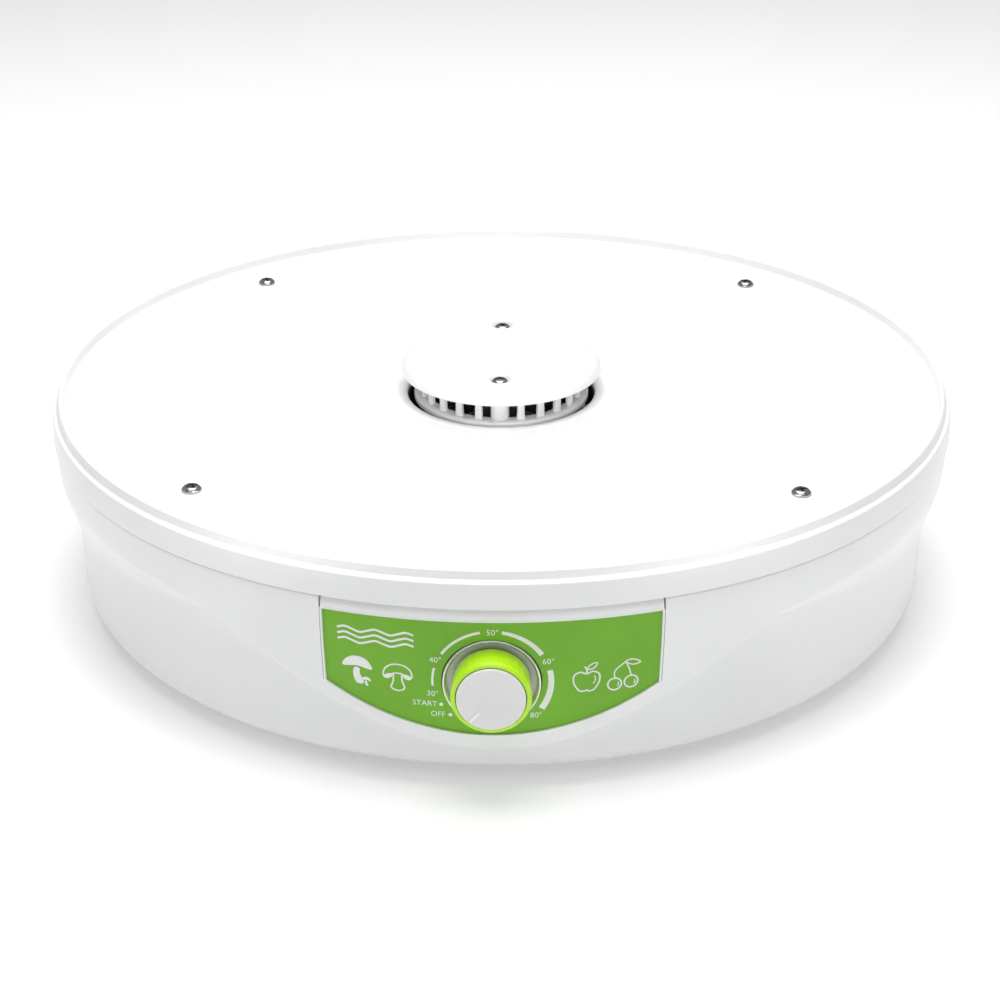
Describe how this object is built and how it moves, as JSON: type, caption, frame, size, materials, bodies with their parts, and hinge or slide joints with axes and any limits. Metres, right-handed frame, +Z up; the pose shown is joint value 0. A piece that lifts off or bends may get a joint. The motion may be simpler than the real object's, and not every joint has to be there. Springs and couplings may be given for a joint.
{
  "type": "food dehydrator base unit",
  "caption": "Round low drum base of a stacking food dehydrator: hot-air outlet under a central cap, tray rim and a front dial on a curved panel.",
  "frame": {"origin": "centre of the underside of the housing floor, on the vertical axis of the drum; the feet reach 4 mm below it", "axes": "+Z up along the drum and fan axis, the control panel and its dial face -Y, +X to the right seen from the front"},
  "size_m": [0.3916, 0.4018, 0.1023],
  "materials": {
    "white_plastic": "gloss moulded plastic",
    "inner_plastic": "matt moulded plastic",
    "green_label": "printed polycarbonate label, satin",
    "lime_plastic": "glossy moulded plastic",
    "pearl_plastic": "satin pearl grey plastic",
    "dish_plastic": "satin silver-grey plastic",
    "bright_metal": "bright plated",
    "zinc_steel": "zinc plated",
    "lamination_steel": "dull rolled steel",
    "brass": "plain turned",
    "winding": "enamelled copper wire",
    "rubber": "matt rubber",
    "mica": "mica sheet",
    "black_plastic": "matt moulded plastic",
    "blue_lead": "insulated wire",
    "brown_lead": "insulated wire"
  },
  "bodies": {
    "base": {"top_cover": "white_plastic", "lower_housing": "white_plastic", "control_panel_frame": "white_plastic", "outlet_grille": "white_plastic", "outlet_cap": "white_plastic", "thermostat": "inner_plastic", "cord_clamp": "inner_plastic", "terminal_block": "inner_plastic", "control_label": "green_label", "dial_dish": "dish_plastic", "cover_screw_1": "bright_metal", "cover_screw_2": "bright_metal", "cover_screw_3": "bright_metal", "cover_screw_4": "bright_metal", "cap_screw_1": "bright_metal", "cap_screw_2": "bright_metal", "dial_bezel": "bright_metal", "duct_screw_1": "zinc_steel", "duct_screw_2": "zinc_steel", "duct_screw_3": "zinc_steel", "clamp_screw_1": "zinc_steel", "clamp_screw_2": "zinc_steel", "motor_screw_1": "zinc_steel", "motor_screw_2": "zinc_steel", "motor_bracket_upper": "zinc_steel", "motor_bracket_lower": "zinc_steel", "thermostat_nut": "zinc_steel", "thermal_fuse": "zinc_steel", "stator_stack": "lamination_steel", "heater_coil": "lamination_steel", "thermostat_tab_1": "brass", "thermostat_tab_2": "brass", "motor_bush_upper": "brass", "motor_bush_lower": "brass", "heater_pin_1": "brass", "heater_pin_2": "brass", "stator_coil": "winding", "rubber_foot_1": "rubber", "rubber_foot_2": "rubber", "rubber_foot_3": "rubber", "rubber_foot_4": "rubber", "heater_frame": "mica", "air_duct": "black_plastic", "cord_gland": "black_plastic", "lead_heater": "blue_lead", "lead_motor": "blue_lead", "lead_live": "brown_lead", "lead_switched": "brown_lead"},
    "knob": {"knob_body": "lime_plastic", "knob_cap": "pearl_plastic", "thermostat_spindle": "brass"},
    "rotor": {"impeller": "black_plastic", "motor_rotor": "zinc_steel", "motor_shaft": "zinc_steel"}
  },
  "joints": [
    {"name": "dial_turn", "type": "hinge", "parent": "base", "child": "knob", "pos_m": [0, -0.19, 0.0441], "axis": [0, 1, 0], "range_deg": [0, 270]},
    {"name": "fan_spin", "type": "hinge", "parent": "base", "child": "rotor", "pos_m": [0, 0, 0.05], "axis": [0, 0, 1], "continuous": true}
  ]
}
